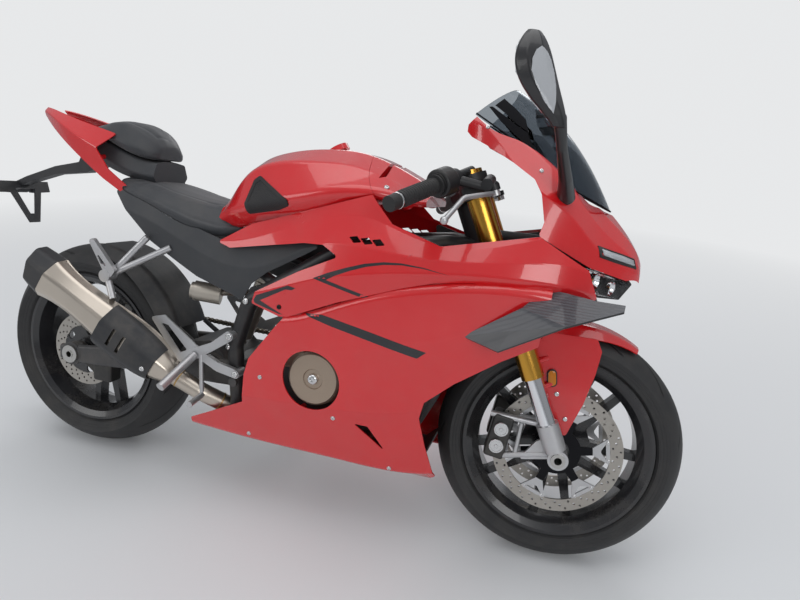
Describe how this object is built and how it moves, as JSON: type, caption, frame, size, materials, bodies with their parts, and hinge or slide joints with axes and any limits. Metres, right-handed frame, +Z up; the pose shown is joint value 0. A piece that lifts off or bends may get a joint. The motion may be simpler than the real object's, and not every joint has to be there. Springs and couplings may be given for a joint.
{
  "type": "sport bike motorcycle",
  "caption": "Red faired sport motorcycle on its side stand, with clip-on bars, winglets, spoked alloy wheels, side silencer, and turning wheels, steering and stand.",
  "frame": {"origin": "on the ground, below the centre of the parked machine's bounding box", "axes": "+X to the front of the machine, +Y to the rider's left, +Z up; the machine leans 8 degrees to +Y"},
  "size_m": [2.0925, 0.7742, 1.221],
  "materials": {
    "black_metal": "satin black powder coat",
    "engine_metal": "dark cast aluminium",
    "bronze_cover": "champagne metallic paint",
    "radiator_black": "matte black core",
    "exhaust_steel": "brushed warm stainless steel",
    "matte_black": "grained dark plastic",
    "swingarm_grey": "satin dark grey paint",
    "axle_steel": "machined steel",
    "cast_silver": "satin silver aluminium",
    "shock_metal": "satin aluminium",
    "chain_steel": "oiled steel",
    "red_paint": "gloss red paint",
    "pad_rubber": "ribbed black rubber",
    "seat_vinyl": "grained dark vinyl",
    "lamp_red": "red lens",
    "smoke_screen": "smoked clear acrylic",
    "lamp_glass": "clear lamp cover",
    "display_glass": "dark display",
    "wing_black": "ribbed carbon look",
    "mirror_black": "satin black",
    "stand_black": "black paint",
    "clamp_black": "black anodised",
    "fork_gold": "gold anodised",
    "fork_chrome": "hard chrome",
    "grip_rubber": "black rubber",
    "tyre": "black rubber",
    "rim_black": "gloss black paint",
    "disc_steel": "ground steel",
    "sprocket_steel": "steel"
  },
  "bodies": {
    "root": {"frame_main": "black_metal", "subframe": "black_metal", "engine_block": "engine_metal", "engine_covers": "bronze_cover", "radiator": "radiator_black", "exhaust_pipes": "exhaust_steel", "silencer": "exhaust_steel", "silencer_covers": "matte_black", "swingarm": "swingarm_grey", "rear_axle": "axle_steel", "rear_caliper": "cast_silver", "shock": "shock_metal", "rear_hugger": "matte_black", "chain_drive": "chain_steel", "fuel_tank": "red_paint", "tank_front_cover": "red_paint", "tank_pads": "pad_rubber", "rider_seat": "seat_vinyl", "pillion_seat": "seat_vinyl", "tail_centre": "matte_black", "tail_wings": "red_paint", "tail_light": "lamp_red", "side_covers": "matte_black", "plate_bracket": "matte_black", "rear_indicators": "matte_black", "side_fairing_right": "red_paint", "side_fairing_left": "red_paint", "lower_fairing_right": "red_paint", "lower_fairing_left": "red_paint", "inner_panels": "matte_black", "upper_cowl": "red_paint", "windscreen": "smoke_screen", "headlights": "lamp_glass", "lamp_housing": "matte_black", "front_stay": "matte_black", "instrument": "display_glass", "winglets": "wing_black", "mirrors": "mirror_black", "rearsets": "cast_silver", "passenger_hangers": "cast_silver"},
    "side_stand": {"side_stand": "stand_black"},
    "steering": {"triple_clamps": "clamp_black", "fork_tubes": "fork_gold", "fork_sliders": "fork_chrome", "fork_feet": "cast_silver", "handlebars": "clamp_black", "grips": "grip_rubber", "bar_controls": "matte_black", "levers": "cast_silver", "front_fender": "red_paint", "front_calipers": "cast_silver", "front_axle": "axle_steel"},
    "front_wheel": {"front_tyre": "tyre", "front_rim": "rim_black", "front_discs": "disc_steel", "disc_carriers": "cast_silver"},
    "rear_wheel": {"rear_tyre": "tyre", "rear_rim": "rim_black", "rear_disc": "disc_steel", "rear_sprocket": "sprocket_steel"}
  },
  "joints": [
    {"name": "steering_turn", "type": "hinge", "parent": "root", "child": "steering", "pos_m": [0.48683, -0.01987, 0.78399], "axis": [-0.4139, 0.1267, 0.9015], "range_deg": [-28, 18]},
    {"name": "front_wheel_spin", "type": "hinge", "parent": "steering", "child": "front_wheel", "pos_m": [0.74706, -0.08545, 0.29642], "axis": [-0.0793, 0.9815, -0.1744], "continuous": true},
    {"name": "rear_wheel_spin", "type": "hinge", "parent": "root", "child": "rear_wheel", "pos_m": [-0.64282, -0.08621, 0.31198], "axis": [0, 0.9903, -0.1392], "continuous": true},
    {"name": "side_stand_fold", "type": "hinge", "parent": "root", "child": "side_stand", "pos_m": [-0.08293, 0.00638, 0.17324], "axis": [0.0305, 0.7795, 0.6256], "range_deg": [0, 92.1]}
  ]
}
